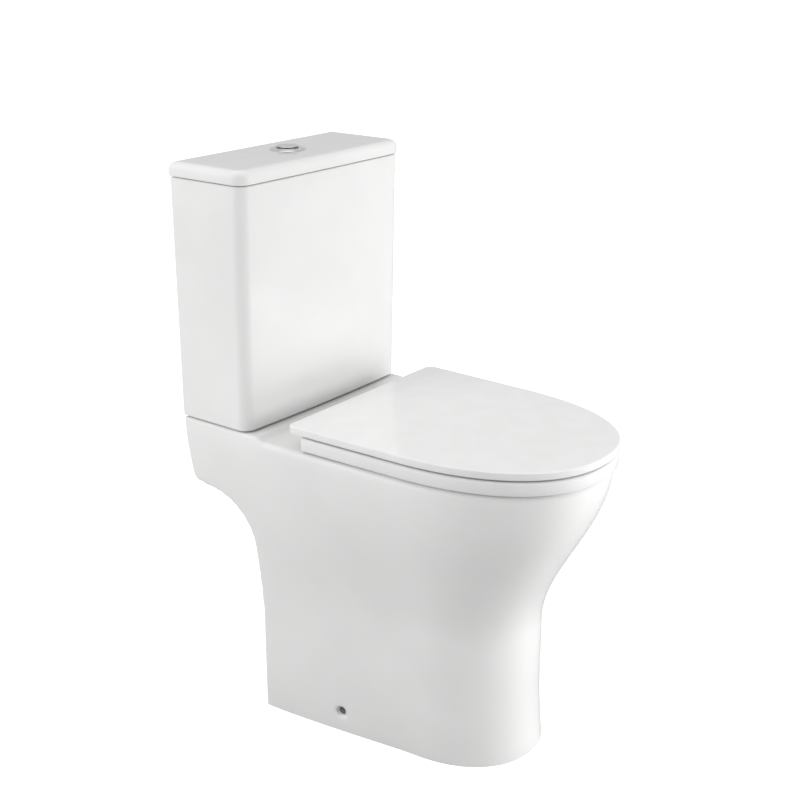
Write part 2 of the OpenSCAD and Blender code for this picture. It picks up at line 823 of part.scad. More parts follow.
module fill_valve_seal() {
    color(rubber) at_wall() at_fill() translate([0, 0, cistern_floor_z]) difference() {
        cylinder(r = 17, h = 3 - eps, $fn = 64);
        translate([0, 0, -1]) cylinder(r = inlet_r + 0.05, h = 6, $fn = 64);
    }
}

module fill_valve_nut() {
    color(plastic) at_wall() at_fill() translate([0, 0, cistern_z - 9]) difference() {
        cylinder(r = 17, h = 9 - eps, $fn = 6);
        translate([0, 0, -1]) cylinder(r = inlet_r + 0.05, h = 12, $fn = 64);
    }
}

/* Floor fixings */

function skirt_half_w(d) =
    mix(skirt_nose_w, skirt_rear_w, 1 - pow(1 - (nose_d - d) / (nose_d - leg_d), skirt_power));
fixing_w = skirt_half_w(fixing_d);
tab_x = fixing_w - wall_t - 5;
floor_hole_x = tab_x - 28;
floor_hole_r = 4.5;

bracket_w = 36;
bracket_t = 7;
screw_r = 3;

module floor_brackets() {
    foot_l = 46;
    foot_t = 6;
    boss_h = 12;
    color("tan") at_wall() both_sides() difference() {
        union() {
            translate([tab_x - foot_l, -fixing_d - bracket_w / 2, 0]) cube([foot_l, bracket_w, foot_t]);
            translate([tab_x - bracket_t, -fixing_d - bracket_w / 2, 0]) cube([bracket_t, bracket_w, 52]);
            translate([tab_x - 18, -fixing_d, fixing_h]) rotate([0, 90, 0])
                cylinder(r = 9, h = boss_h, $fn = 48);
        }
        translate([floor_hole_x, -fixing_d, -1]) cylinder(r = floor_hole_r, h = foot_t + 2, $fn = 48);
        translate([tab_x - 19, -fixing_d, fixing_h]) rotate([0, 90, 0])
            cylinder(r = screw_r + 0.05, h = 30, $fn = 32);
    }
}

module side_sleeves() {
    color(plastic) at_wall() both_sides() translate([tab_x + 0.5, -fixing_d, fixing_h]) rotate([0, 90, 0])
        difference() {
            cylinder(r = fixing_hole_r - 0.2, h = 12, $fn = 48);
            translate([0, 0, -1]) cylinder(r = screw_r + 0.2, h = 20, $fn = 32);
            translate([0, 0, 9]) cylinder(r = 6.4, h = 20, $fn = 32);
        }
}

module side_screws() {
    shank = 34;
    color("darkslategray") at_wall() both_sides()
    translate([tab_x - 24, -fixing_d, fixing_h]) rotate([0, 90, 0]) {
        cylinder(r = screw_r, h = shank, $fn = 32);
        translate([0, 0, shank - 0.4]) cylinder(r = 5.8, h = 2.6, $fn = 48);
    }
}

pan();
cistern();
cistern_lid();
seat_ring();
seat_lid();
ring_buffers();
lid_buffers();
mirror([1, 0, 0]) hinge_base();  // hinge_base_left
hinge_base();  // hinge_base_right
mirror([1, 0, 0]) hinge_pin();  // hinge_pin_left
hinge_pin();  // hinge_pin_right
mirror([1, 0, 0]) soft_close_damper();  // soft_close_damper_left
soft_close_damper();  // soft_close_damper_right
hinge_studs();
hinge_cone_washers();
hinge_nuts();
button_bezel();
full_flush_button();
half_flush_button();
bezel_nut();
push_rod(full_rod_x);  // full_push_rod
push_rod(half_rod_x);  // half_push_rod
button_spring(full_rod_x);  // full_button_spring
button_spring(half_rod_x);  // half_button_spring
flush_valve_body();
flush_lift_tube();
flush_seal();
flush_valve_gasket();
flush_valve_nut();
coupling_washer();
coupling_bolts();
coupling_seals();
coupling_steel_washers();
coupling_wing_nuts();
fill_valve_body();
fill_float();
fill_lever();
fill_valve_seal();
fill_valve_nut();
floor_brackets();
side_sleeves();
side_screws();
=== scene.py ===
import json
import math

import bmesh
import bpy
from mathutils import Matrix, Vector

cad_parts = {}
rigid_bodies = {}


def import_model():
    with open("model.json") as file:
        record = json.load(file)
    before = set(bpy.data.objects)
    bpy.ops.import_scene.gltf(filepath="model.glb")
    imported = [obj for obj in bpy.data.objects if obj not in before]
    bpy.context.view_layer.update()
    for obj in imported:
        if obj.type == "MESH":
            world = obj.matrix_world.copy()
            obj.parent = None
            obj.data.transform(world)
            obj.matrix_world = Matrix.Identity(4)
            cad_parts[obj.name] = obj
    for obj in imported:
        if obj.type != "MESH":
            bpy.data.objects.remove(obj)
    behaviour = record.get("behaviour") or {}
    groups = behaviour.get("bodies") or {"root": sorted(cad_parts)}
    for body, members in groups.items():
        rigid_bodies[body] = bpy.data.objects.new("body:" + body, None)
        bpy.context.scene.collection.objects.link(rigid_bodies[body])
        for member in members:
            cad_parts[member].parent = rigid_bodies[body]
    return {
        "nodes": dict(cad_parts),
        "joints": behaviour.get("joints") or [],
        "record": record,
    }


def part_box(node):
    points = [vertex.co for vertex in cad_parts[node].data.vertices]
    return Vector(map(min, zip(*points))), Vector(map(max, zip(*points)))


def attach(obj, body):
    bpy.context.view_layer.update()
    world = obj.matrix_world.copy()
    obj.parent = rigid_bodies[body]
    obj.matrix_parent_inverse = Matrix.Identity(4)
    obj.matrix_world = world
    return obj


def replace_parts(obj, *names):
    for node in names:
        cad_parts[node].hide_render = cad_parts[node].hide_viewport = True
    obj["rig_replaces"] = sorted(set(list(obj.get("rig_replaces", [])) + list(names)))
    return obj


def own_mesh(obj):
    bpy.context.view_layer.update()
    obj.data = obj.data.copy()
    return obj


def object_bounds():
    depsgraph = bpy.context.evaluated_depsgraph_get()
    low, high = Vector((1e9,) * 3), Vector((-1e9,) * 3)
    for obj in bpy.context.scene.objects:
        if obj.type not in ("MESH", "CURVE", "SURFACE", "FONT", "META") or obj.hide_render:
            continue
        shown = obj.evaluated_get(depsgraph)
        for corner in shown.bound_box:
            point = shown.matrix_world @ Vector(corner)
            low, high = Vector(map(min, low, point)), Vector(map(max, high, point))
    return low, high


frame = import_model()
cad_low, cad_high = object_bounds()

# Lengths below are millimetres. A place is (x, d, z): d is the distance from the wall, z the height.
MM = 0.001
WALL = cad_high.y


def place(x, d, z):
    return Vector((x * MM, WALL - d * MM, z * MM))


def node_box(node):
    """Lowest and highest (x, d, z) of a CAD node."""
    low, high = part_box(node)
    return (
        (low.x / MM, (WALL - high.y) / MM, low.z / MM),
        (high.x / MM, (WALL - low.y) / MM, high.z / MM),
    )


def mix(a, b, t):
    return a + (b - a) * t


def clamp(t):
    return min(max(t, 0.0), 1.0)


def ease(t):
    t = clamp(t)
    return t * t * (3 - 2 * t)


def arc(cx, cy, r, a0, a1, n):
    """Points of a circle arc, angles in degrees."""
    turns = [math.radians(mix(a0, a1, i / n)) for i in range(n + 1)]
    return [(cx + r * math.cos(a), cy + r * math.sin(a)) for a in turns]


# ---------------------------------------------------------------- camera

VIEW_AZIMUTH = math.radians(-52.45)
VIEW_ELEVATION = math.radians(19.74)
VIEW_DISTANCE = 2.3847
VIEW_TARGET = Vector((0.2440, 0.2303, 0.3970))

camera_data = bpy.data.cameras.new("camera")
camera_data.lens = 61.886
camera_data.sensor_width = 36.0
camera_data.shift_x = 0.00446
camera_data.shift_y = 0.00128
camera_data.clip_start = 0.05
camera_data.clip_end = 60.0
camera = bpy.data.objects.new("camera", camera_data)
bpy.context.scene.collection.objects.link(camera)
back = Vector(
    (
        math.sin(VIEW_AZIMUTH) * math.cos(VIEW_ELEVATION),
        -math.cos(VIEW_AZIMUTH) * math.cos(VIEW_ELEVATION),
        math.sin(VIEW_ELEVATION),
    )
)
camera.rotation_mode = "QUATERNION"
camera.rotation_quaternion = (-back).to_track_quat("-Z", "Y")
camera.location = VIEW_TARGET + back * VIEW_DISTANCE
bpy.context.scene.camera = camera


# ---------------------------------------------------------------- mesh helpers


def new_object(name, points, faces):
    """A closed mesh from (x, d, z) points, with its normals turned outwards."""
    mesh = bpy.data.meshes.new(name)
    mesh.from_pydata([place(*p) for p in points], [], faces)
    work = bmesh.new()
    work.from_mesh(mesh)
    bmesh.ops.remove_doubles(work, verts=work.verts, dist=1e-6)
    bmesh.ops.recalc_face_normals(work, faces=work.faces)
    work.to_mesh(mesh)
    work.free()
    obj = bpy.data.objects.new(name, mesh)
    bpy.context.scene.collection.objects.link(obj)
    return obj


def loft(name, rings, closed=False):
    """A skin over rings with the same number of points. It is capped, or joined end to start."""
    n = len(rings[0])
    points = [p for ring in rings for p in ring]
    count = len(rings)
    faces = []
    for j in range(count if closed else count - 1):
        a, b = j * n, ((j + 1) % count) * n
        faces += [(a + i, a + (i + 1) % n, b + (i + 1) % n, b + i) for i in range(n)]
    if not closed:
        faces += [tuple(range(n)), tuple(range(len(points) - 1, len(points) - n - 1, -1))]
    return new_object(name, points, faces)


def prism(name, profile, x0, x1):
    """A (d, z) outline carried across from x0 to x1."""
    return loft(name, [[(x, d, z) for d, z in profile] for x in (x0, x1)])


def block(name, x0, x1, d0, d1, z0, z1):
    return prism(name, [(d0, z0), (d1, z0), (d1, z1), (d0, z1)], x0, x1)


def turned(name, profile, at, axis="z", sides=96):
    """A closed (radius, length) outline turned about an axis through the place at."""
    x0, d0, z0 = at
    rings = []
    for i in range(sides):
        a = 2 * math.pi * i / sides
        c, s = math.cos(a), math.sin(a)
        if axis == "z":
            rings.append([(x0 + r * c, d0 + r * s, z0 + h) for r, h in profile])
        elif axis == "x":
            rings.append([(x0 + h, d0 + r * c, z0 + r * s) for r, h in profile])
        else:
            rings.append([(x0 + r * c, d0 + h, z0 + r * s) for r, h in profile])
    return loft(name, rings, closed=True)


def rod(name, radius, length, at, axis="z", soft=0.0, sides=96):
    """A round bar with its two edges rounded by soft."""
    low = arc(radius - soft, soft, soft, -90, 0, 4) if soft else [(radius, 0)]
    high = arc(radius - soft, length - soft, soft, 0, 90, 4) if soft else [(radius, length)]
    return turned(name, [(0, 0)] + low + high + [(0, length)], at, axis, sides)


def sweep(name, path, radius, sides, closed=False):
    """A round tube along a path of places, turned as little as the path allows."""
    points = [Vector(p) for p in path]
    n = len(points)
    rings = []
    side = None
    for i, p in enumerate(points):
        along = (points[min(i + 1, n - 1)] - points[max(i - 1, 0)]).normalized()
        if side is None:
            side = along.orthogonal().normalized()
        side = (side - along * side.dot(along)).normalized()
        other = along.cross(side)
        ring = []
        for k in range(sides):
            a = 2 * math.pi * k / sides
            ring.append(tuple(p + radius * (math.cos(a) * side + math.sin(a) * other)))
        rings.append(ring)
    return loft(name, rings, closed)


def applied(obj):
    """Makes the object's modifiers part of its mesh."""
    bpy.context.view_layer.update()
    graph = bpy.context.evaluated_depsgraph_get()
    mesh = bpy.data.meshes.new_from_object(obj.evaluated_get(graph))
    old = obj.data
    obj.modifiers.clear()
    obj.data = mesh
    bpy.data.meshes.remove(old)
    return obj


def combine(obj, operation, tools):
    """Boolean of obj with each tool in turn. The tools are used up."""
    for tool in tools:
        step = obj.modifiers.new(tool.name, "BOOLEAN")
        step.operation = operation
        step.solver = "MANIFOLD"
        step.object = tool
    applied(obj)
    for tool in tools:
        bpy.data.objects.remove(tool)
    return obj


def join(obj, *tools):
    return combine(obj, "UNION", tools)


def cut(obj, *tools):
    return combine(obj, "DIFFERENCE", tools)


def keep(obj, *tools):
    return combine(obj, "INTERSECT", tools)


def twin(obj):
    other = bpy.data.objects.new(obj.name + "_twin", obj.data.copy())
    bpy.context.scene.collection.objects.link(other)
    return other


def both_sides(make):
    """What make(side) makes on the right and on the left."""
    return [make(1), make(-1)]


def softened(obj, width, angle=35.0, segments=2):
    """Rounds the edges sharper than angle."""
    work = bmesh.new()
    work.from_mesh(obj.data)
    bmesh.ops.remove_doubles(work, verts=work.verts, dist=2e-6)
    bmesh.ops.dissolve_limit(
        work, angle_limit=math.radians(1.0), verts=work.verts, edges=work.edges
    )
    work.to_mesh(obj.data)
    work.free()
    bevel = obj.modifiers.new("edges", "BEVEL")
    bevel.width = width * MM
    bevel.segments = segments
    bevel.limit_method = "ANGLE"
    bevel.angle_limit = math.radians(angle)
    return applied(obj)


def glazed(obj, voxel, rounds):
    """Ceramic's soft edges: one even skin, with every sharp edge flowed over."""
    skin = obj.modifiers.new("skin", "REMESH")
    skin.mode = "VOXEL"
    skin.voxel_size = voxel * MM
    skin.use_smooth_shade = True
    flow = obj.modifiers.new("flow", "SMOOTH")
    flow.factor = 0.5
    flow.iterations = rounds
    return applied(obj)


# ---------------------------------------------------------------- materials


class Nodes:
    """Short forms for the nodes of one material."""

    def __init__(self, name):
        self.material = bpy.data.materials.new(name)
        self.material.use_nodes = True
        self.tree = self.material.node_tree
        self.shader = self.tree.nodes["Principled BSDF"]
        self.place = self.new("ShaderNodeTexCoord").outputs["Object"]

    def new(self, kind, **values):
        made = self.tree.nodes.new(kind)
        for key, value in values.items():
            if hasattr(made, key):
                setattr(made, key, value)
            else:
                made.inputs[key.replace("_", " ")].default_value = value
        return made

    def link(self, a, b):
        self.tree.links.new(a, b)

    def noise(self, scale, detail=3.0, roughness=0.5):
        made = self.new("ShaderNodeTexNoise")
        made.inputs["Scale"].default_value = scale
        made.inputs["Detail"].default_value = detail
        made.inputs["Roughness"].default_value = roughness
        self.link(self.place, made.inputs["Vector"])
        return made.outputs["Fac"]

    def ramp(self, source, low, high, low_value, high_value):
        made = self.new("ShaderNodeMapRange")
        made.inputs["From Min"].default_value = low
        made.inputs["From Max"].default_value = high
        made.inputs["To Min"].default_value = low_value
        made.inputs["To Max"].default_value = high_value
        self.link(source, made.inputs["Value"])
        return made.outputs["Result"]

    def blend(self, source, first, second):
        made = self.new("ShaderNodeMix", data_type="RGBA")
        made.inputs["A"].default_value = (*first, 1.0)
        made.inputs["B"].default_value = (*second, 1.0)
        self.link(source, made.inputs["Factor"])
        return made.outputs["Result"]

    def colour(self, source, first, second):
        """The base colour, varying between two."""
        made = self.new("ShaderNodeMix", data_type="RGBA")
        made.inputs[6].default_value = (*first, 1.0)
        made.inputs[7].default_value = (*second, 1.0)
        self.link(source, made.inputs[0])
        self.link(made.outputs[2], self.shader.inputs["Base Color"])

    def bump(self, *heights):
        """Stacks bumps of (height, strength, distance in mm)."""
        last = None
        for height, strength, distance in heights:
            made = self.new("ShaderNodeBump")
            made.inputs["Strength"].default_value = strength
            made.inputs["Distance"].default_value = distance * MM
            self.link(height, made.inputs["Height"])
            if last:
                self.link(last, made.inputs["Normal"])
            last = made.outputs["Normal"]
        self.link(last, self.shader.inputs["Normal"])

    def set(self, **values):
        for key, value in values.items():
            self.shader.inputs[key.replace("_", " ")].default_value = value


def ceramic_material():
    """White vitreous glaze: a soft body colour under a clear, faintly rippled gloss."""
    m = Nodes("ceramic")
    m.colour(m.ramp(m.noise(9.0, 2.0), 0.35, 0.65, 0.0, 1.0), (0.80, 0.80, 0.795), (0.825, 0.825, 0.82))
    m.link(m.ramp(m.noise(60.0, 4.0), 0.3, 0.7, 0.10, 0.17), m.shader.inputs["Roughness"])
    m.bump((m.noise(28.0, 1.5), 0.10, 0.6), (m.noise(420.0, 2.0), 0.05, 0.05))
    m.set(IOR=1.52, Coat_Weight=0.35, Coat_Roughness=0.05, Coat_IOR=1.5)
    return m.material


def plastic_material(name, first, second, rough, grain, strength=0.12):
    """Moulded plastic: a faint flow of tone and a fine moulded grain."""
    m = Nodes(name)
    m.colour(m.ramp(m.noise(30.0, 3.0), 0.35, 0.65, 0.0, 1.0), first, second)
    roughness = m.ramp(m.noise(grain * 0.4, 3.0), 0.3, 0.7, rough * 0.8, rough * 1.25)
    m.link(roughness, m.shader.inputs["Roughness"])
    m.bump((m.noise(grain, 3.0), strength, 0.08))
    m.set(IOR=1.48)
    return m


def metal_material(name, first, second, rough, brushed=(1.0, 1.0, 1.0), grain=300.0, strength=0.05):
    """Metal whose grain is stretched by brushed."""
    m = Nodes(name)
    stretch = m.new("ShaderNodeMapping")
    stretch.inputs["Scale"].default_value = brushed
    m.link(m.place, stretch.inputs["Vector"])
    m.place = stretch.outputs["Vector"]
    m.colour(m.ramp(m.noise(90.0, 4.0), 0.35, 0.65, 0.0, 1.0), first, second)
    m.link(m.ramp(m.noise(grain, 4.0), 0.3, 0.7, rough * 0.7, rough * 1.4), m.shader.inputs["Roughness"])
    m.bump((m.noise(grain * 2.0, 2.0), strength, 0.03))
    m.set(Metallic=1.0)
    return m.material


def chrome_material():
    """Bright chrome, with a painted shade on the walls of the caps: a dark band below their top edge stands
    in for the dark they reflect.
    """
    m = Nodes("chrome")
    height = m.new("ShaderNodeSeparateXYZ")
    m.link(m.place, height.inputs["Vector"])
    top = node_box("full_flush_button")[1][2]
    # painted shade: picks out a band of heights on the cap walls, just below their top edge
    near = m.new("ShaderNodeMath", operation="COMPARE")
    near.inputs[1].default_value = (top - PAINTED_SHADE_MIDDLE) * MM
    near.inputs[2].default_value = PAINTED_SHADE_BAND * MM
    m.link(height.outputs["Z"], near.inputs[0])
    bright = m.blend(m.noise(90.0, 4.0), (0.84, 0.85, 0.86), (0.90, 0.91, 0.92))
    # painted shade: inside that band the chrome's colour is swapped for a near-black one
    made = m.new("ShaderNodeMix", data_type="RGBA")
    made.inputs["B"].default_value = (0.10, 0.10, 0.105, 1.0)
    m.link(bright, made.inputs["A"])
    m.link(near.outputs["Value"], made.inputs["Factor"])
    m.link(made.outputs["Result"], m.shader.inputs["Base Color"])
    m.link(m.ramp(m.noise(300.0, 4.0), 0.3, 0.7, 0.035, 0.07), m.shader.inputs["Roughness"])
    m.bump((m.noise(600.0, 2.0), 0.015, 0.03))
    m.set(Metallic=1.0)
    return m.material


def rubber_material():
    m = Nodes("black_rubber")
    m.colour(m.ramp(m.noise(150.0, 4.0), 0.35, 0.7, 0.0, 1.0), (0.018, 0.018, 0.019), (0.045, 0.044, 0.043))
    m.link(m.ramp(m.noise(260.0, 3.0), 0.3, 0.7, 0.55, 0.8), m.shader.inputs["Roughness"])
    m.bump((m.noise(900.0, 3.0), 0.25, 0.08))
    return m.material


def bumper_material():
    m = plastic_material("clear_bumper", (0.74, 0.75, 0.75), (0.80, 0.81, 0.81), 0.32, 500.0)
    m.set(Transmission_Weight=0.35, Subsurface_Weight=0.2, Subsurface_Scale=0.004)
    return m.material


# depth below the cap tops and half-height of the painted shade band on the chrome, in mm
PAINTED_SHADE_MIDDLE, PAINTED_SHADE_BAND = 2.2, 1.0
SLOTS = {
    "ceramic": ceramic_material(),
    "seat_plastic": plastic_material(
        "seat_plastic", (0.805, 0.805, 0.80), (0.825, 0.825, 0.822), 0.16, 700.0, 0.03
    ).material,
    "chrome": chrome_material(),
    "steel": metal_material("steel", (0.52, 0.53, 0.54), (0.66, 0.67, 0.68), 0.28, (1.0, 1.0, 12.0)),
    "black_steel": metal_material("black_steel", (0.16, 0.16, 0.165), (0.26, 0.26, 0.27), 0.36),
    "brass": metal_material("brass", (0.62, 0.45, 0.19), (0.76, 0.58, 0.28), 0.26, (1.0, 1.0, 10.0)),
    "black_rubber": rubber_material(),
    "white_plastic": plastic_material(
        "white_plastic", (0.74, 0.75, 0.75), (0.80, 0.81, 0.81), 0.38, 420.0
    ).material,
    "grey_plastic": plastic_material(
        "grey_plastic", (0.40, 0.42, 0.44), (0.47, 0.49, 0.51), 0.42, 420.0
    ).material,
    "blue_plastic": plastic_material(
        "blue_plastic", (0.10, 0.22, 0.42), (0.14, 0.28, 0.50), 0.36, 420.0
    ).material,
    "clear_bumper": bumper_material(),
    "nylon": plastic_material("nylon", (0.60, 0.55, 0.43), (0.68, 0.63, 0.50), 0.45, 380.0).material,
}
NODE_SLOT = {s["node"]: s["material_slot"] for s in frame["record"]["subparts"]}
NODE_BODY = {n: b for b, ns in frame["record"]["behaviour"]["bodies"].items() for n in ns}


def piece(obj, name, *nodes, sharp=35.0):
    """Names a finished piece, gives it its material, and lets it stand for its CAD nodes."""
    obj.name = name
    obj.data.name = name
    obj.data.materials.clear()
    obj.data.materials.append(SLOTS[NODE_SLOT[nodes[0]]])
    obj.data.shade_smooth()
    obj.data.set_sharp_from_angle(angle=math.radians(sharp))
    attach(obj, NODE_BODY[nodes[0]])
    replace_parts(obj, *nodes)
    return obj


def rounded_node(node, width, name=None):
    """A CAD node's own shape with its edges rounded."""
    obj = bpy.data.objects.new(node, frame["nodes"][node].data.copy())
    bpy.context.scene.collection.objects.link(obj)
    return piece(softened(obj, width), name or node + "_finished", node)


# ---------------------------------------------------------------- sizes

SHELF_Z = node_box("pan")[1][2]
RIM_Z = node_box("hinge_base_left")[0][2]
PLATE_LOW_Z = node_box("hinge_cone_washers")[0][2] + 6.0
CISTERN_LOW, CISTERN_HIGH = node_box("cistern")
LID_LOW, LID_HIGH = node_box("cistern_lid")
SEAT_RING_LOW, SEAT_RING_HIGH = node_box("seat_ring")
BUTTON_TOP_Z = node_box("full_flush_button")[1][2]
HINGE = next(j for j in frame["joints"] if j["name"] == "seat_lid_hinge")["pos_m"]
HINGE_D = (WALL - HINGE[1]) / MM
HINGE_Z = HINGE[2] / MM
HINGE_X = 75.0
FLUSH_D = sum(node_box("button_bezel")[i][1] for i in (0, 1)) / 2
FILL_X = sum(node_box("fill_float")[i][0] for i in (0, 1)) / 2
FIXING_D = sum(node_box("side_screws")[i][1] for i in (0, 1)) / 2
FIXING_Z = sum(node_box("side_screws")[i][2] for i in (0, 1)) / 2

# ---------------------------------------------------------------- outlines

SIDE_POWER = 1.3


def half_outline(back_w, nose_w, back_d, nose_d, front_d, power, rear_d, corner, count):
    """Right half of a straight-sided shape with a rounded nose, from the back to the tip."""
    dense = []
    if corner:
        dense += [
            (back_w - corner + corner * c, rear_d + corner + corner * s)
            for c, s in arc(0, 0, 1, -90, 0, 8)
        ]
    steps = 80
    for i in range(steps + 1):
        d = mix(rear_d + corner, nose_d, i / steps)
        t = clamp((nose_d - d) / (nose_d - back_d))
        dense.append((mix(nose_w, back_w, 1 - (1 - t) ** SIDE_POWER), d))
    for i in range(1, steps + 1):
        a = math.radians(90 * i / steps)
        dense.append(
            (
                nose_w * max(math.cos(a), 0.0) ** (2 / power),
                nose_d + (front_d - nose_d) * math.sin(a) ** (2 / power),
            )
        )
    lengths = [0.0]
    for p, q in zip(dense, dense[1:]):
        lengths.append(lengths[-1] + math.dist(p, q))
    even, j = [], 0
    for i in range(count):
        want = lengths[-1] * i / (count - 1)
        while j < len(lengths) - 2 and lengths[j + 1] < want:
            j += 1
        t = (want - lengths[j]) / max(lengths[j + 1] - lengths[j], 1e-9)
        even.append((mix(dense[j][0], dense[j + 1][0], t), mix(dense[j][1], dense[j + 1][1], t)))
    return even


def outline(back_w, nose_w, back_d, nose_d, front_d, power, rear_d, corner=0.0, count=110, ease_rounds=14):
    """The whole outline, with the join between side and nose eased."""
    half = half_outline(back_w, nose_w, back_d, nose_d, front_d, power, rear_d, corner, count)
    fixed = 12 if corner else 2
    for _ in range(ease_rounds):
        tip = (-half[-2][0], half[-2][1])
        beyond = half + [tip]
        half = half[:fixed] + [
            (
                beyond[i][0] / 2 + (beyond[i - 1][0] + beyond[i + 1][0]) / 4,
                beyond[i][1] / 2 + (beyond[i - 1][1] + beyond[i + 1][1]) / 4,
            )
            for i in range(fixed, len(half))
        ]
    half[-1] = (0.0, half[-1][1])
    return half + [(-x, d) for x, d in reversed(half[:-1])]


# ---------------------------------------------------------------- pan

LEG_D = 121.0
NOSE_D = 380.0
SKIRT_REAR_W, SHELF_W = 146.0, 180.0
SKIRT_NOSE_W, RIM_NOSE_W = 115.0, 168.0
WAIST_FRONT_D, RIM_FRONT_D = 520.0, 622.0
WAIST_Z, NOSE_WAIST_Z = 145.0, 200.0
WALL_T = 12.0
OUTLET_R, OUTLET_Z = 51.0, 185.0
SPIGOT_IN_D, SPIGOT_END_D = 160.0, 75.0
BELOW, BEHIND = -24.0, -20.0


def flare(z, start=WAIST_Z):
    return ease((z - start) / (RIM_Z - start))


def pan_ring(z, inset=0.0, rear=BEHIND):
    f, nose = flare(z), flare(z, NOSE_WAIST_Z)
    foot = 8 * max(0.0, 1 - max(z, 0.0) / 110) ** 2
    line = outline(
        mix(SKIRT_REAR_W, SHELF_W, f) - inset,
        mix(SKIRT_NOSE_W, RIM_NOSE_W, nose) - inset,
        LEG_D,
        NOSE_D,
        mix(WAIST_FRONT_D, RIM_FRONT_D, nose) + foot - inset,
        2.2,
        rear,
    )
    return [(x, d, z) for x, d in line]


def pan_outside():
    edge = 7.0
    heights = [BELOW, 0.0] + [mix(0, RIM_Z - edge, i / 48) for i in range(1, 49)]
    rings = [pan_ring(z) for z in heights]
    for c, s in arc(0, 0, 1, 15, 90, 5):
        rings.append(pan_ring(RIM_Z - edge + edge * s, edge * (1 - c)))
    body = loft("pan", rings)
    step_d, slope = 150.0, 10.0
    low = RIM_Z - 20
    shelf = [(BEHIND, low), (step_d + slope + 4, low), (step_d + slope + 4, RIM_Z - 3)]
    shelf += [(step_d + slope - 3, RIM_Z + 1), (step_d, SHELF_Z - 1.5)]
    shelf += [(step_d - 3, SHELF_Z), (BEHIND, SHELF_Z)]
    return join(body, prism("shelf", shelf, -SHELF_W + 1, SHELF_W - 1))


BOWL_FLOOR_Z = 100.0
BOWL_LIP = 9.0
CHANNEL_Z, CHANNEL_H, CHANNEL_DEPTH = 438.0, 44.0, 7.0


def bowl_ring(z, out=0.0):
    g = 1 - (1 - clamp((z - BOWL_FLOOR_Z) / (RIM_Z - BOWL_FLOOR_Z))) ** 1.75
    if out == 0:
        u = (z - CHANNEL_Z) / (CHANNEL_H / 2)
        if abs(u) < 1:
            out += CHANNEL_DEPTH * math.cos(u * math.pi / 2) ** 2
        lip = clamp((z - RIM_Z + BOWL_LIP) / BOWL_LIP)
        out += BOWL_LIP * (1 - math.sqrt(max(1 - lip * lip, 0.0)))
    a, b, centre = mix(38, 118, g) + out, mix(38, 142, g) + out, mix(395, 430, g)
    return [
        (a * math.cos(2 * math.pi * i / 120), centre - b * math.sin(2 * math.pi * i / 120), z)
        for i in range(120)
    ]


def bowl(name, out):
    rings = [bowl_ring(BOWL_FLOOR_Z - out, out - 14) if out else bowl_ring(BOWL_FLOOR_Z, -14)]
    rings += [bowl_ring(mix(BOWL_FLOOR_Z + 6, RIM_Z - 12, (i / 30) ** 1.3), out) for i in range(31)]
    rings += [bowl_ring(mix(RIM_Z - 10, RIM_Z, i / 6), out) for i in range(7)]
    rings.append([(x, d, RIM_Z + 12) for x, d, _ in bowl_ring(RIM_Z, out)])
    return loft(name, rings)


def trapway(name, radius):
    sump_z = BOWL_FLOOR_Z + 22
    path = [(412, sump_z)] + arc(392, sump_z + 55, 55, 270, 225, 6)
    path += arc(233, 190, 48, 45, 135, 14) + arc(140, OUTLET_Z + 50, 50, 315, 270, 6) + [(110, OUTLET_Z)]
    return sweep(name, [(0, d, z) for d, z in path], radius, 48)


DUCT_W, DUCT_Z, DUCT_H = 32.0, PLATE_LOW_Z - 24, 28.0
BOWL_WALL, DUCT_WALL, SPIGOT_WALL = 10, 8, 8
TRAP_BORE_R, TRAP_WALL = 27, 9
BOSS_R, RECESS_R, PASSAGE_R, INLET_HOLE_R = 58, 47, 30, 22
BOLT_HOLE_R, HINGE_HOLE_R, FIXING_HOLE_R = 6.5, 7.5, 8.2
COUPLING_X = 75
THROUGH = 60


def flush_duct(name, out):
    return block(name, -DUCT_W - out, DUCT_W + out, FLUSH_D - 20 - out, 300, DUCT_Z - out, DUCT_Z + DUCT_H)


